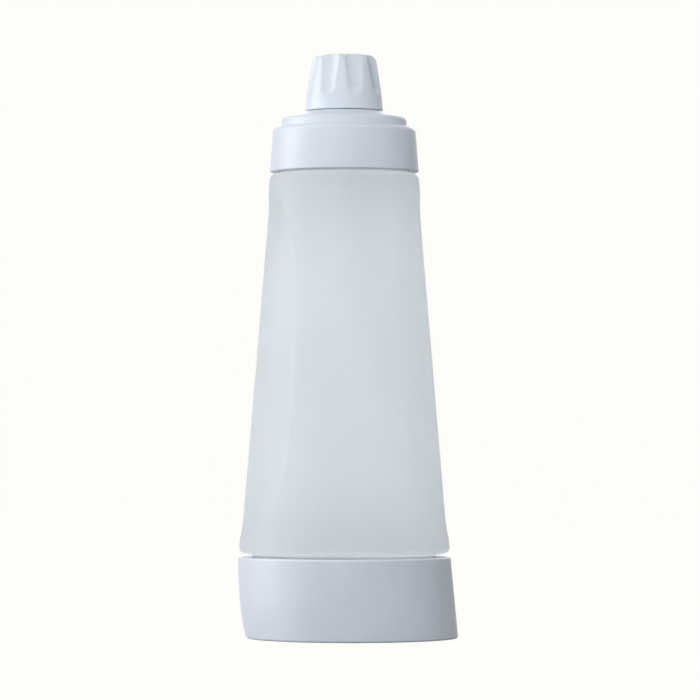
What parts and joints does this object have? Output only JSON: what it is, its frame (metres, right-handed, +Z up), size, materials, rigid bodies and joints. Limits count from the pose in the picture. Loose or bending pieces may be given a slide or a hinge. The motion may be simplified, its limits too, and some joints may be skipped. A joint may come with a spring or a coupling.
{
  "type": "batter mixing bottle",
  "caption": "Tapered translucent squeeze bottle with two shallow grip panels, screw-on base cup, screw collar, nozzle under a fluted screw cap and a loose wire whisk ball inside.",
  "frame": {"origin": "on the screw axis, in the plane that the base cup stands on", "axes": "+Z up the bottle's axis towards the cap; -X and +X through the middles of the two grip panels; the front, as pictured, faces -Y"},
  "size_m": [0.1018, 0.0996, 0.27],
  "materials": {
    "moulded_plastic": "satin pale blue-grey moulded plastic",
    "frosted_plastic": "milky translucent, softly frosted",
    "silicone": "matt off-white silicone",
    "steel_wire": "bright drawn stainless wire"
  },
  "bodies": {
    "base": {"base_cup": "moulded_plastic"},
    "lower_seal": {"lower_gasket": "silicone"},
    "bottle": {"bottle": "frosted_plastic"},
    "nozzle": {"nozzle_plate": "moulded_plastic", "flow_tip": "silicone", "tip_retainer": "moulded_plastic", "upper_gasket": "silicone"},
    "collar": {"screw_collar": "moulded_plastic"},
    "liner": {"cap_liner": "silicone"},
    "cap": {"nozzle_cap": "moulded_plastic"},
    "whisk": {"whisk_ball": "steel_wire"}
  },
  "joints": [
    {"name": "bottle_rise", "type": "slide", "parent": "base", "child": "lower_seal", "axis": [0, 0, 1], "range_m": [0, 0.018]},
    {"name": "bottle_twist", "type": "hinge", "parent": "lower_seal", "child": "bottle", "pos_m": [0, 0, 0.0396], "axis": [0, 0, 1], "range_deg": [0, 720]},
    {"name": "collar_rise", "type": "slide", "parent": "bottle", "child": "nozzle", "axis": [0, 0, 1], "range_m": [0, 0.016]},
    {"name": "collar_twist", "type": "hinge", "parent": "nozzle", "child": "collar", "pos_m": [0, 0, 0.226], "axis": [0, 0, 1], "range_deg": [0, 720]},
    {"name": "cap_rise", "type": "slide", "parent": "nozzle", "child": "liner", "axis": [0, 0, 1], "range_m": [0, 0.024]},
    {"name": "cap_twist", "type": "hinge", "parent": "liner", "child": "cap", "pos_m": [0, 0, 0.257], "axis": [0, 0, 1], "range_deg": [0, 1080]},
    {"name": "whisk_travel", "type": "slide", "parent": "base", "child": "whisk", "axis": [0, 0, 1], "range_m": [0, 0.16]}
  ],
  "couplings": [
    {"joint": "bottle_rise", "follows": "bottle_twist", "m_per_rad": 0.0014323},
    {"joint": "collar_rise", "follows": "collar_twist", "m_per_rad": 0.0012732},
    {"joint": "cap_rise", "follows": "cap_twist", "m_per_rad": 0.0012732}
  ]
}
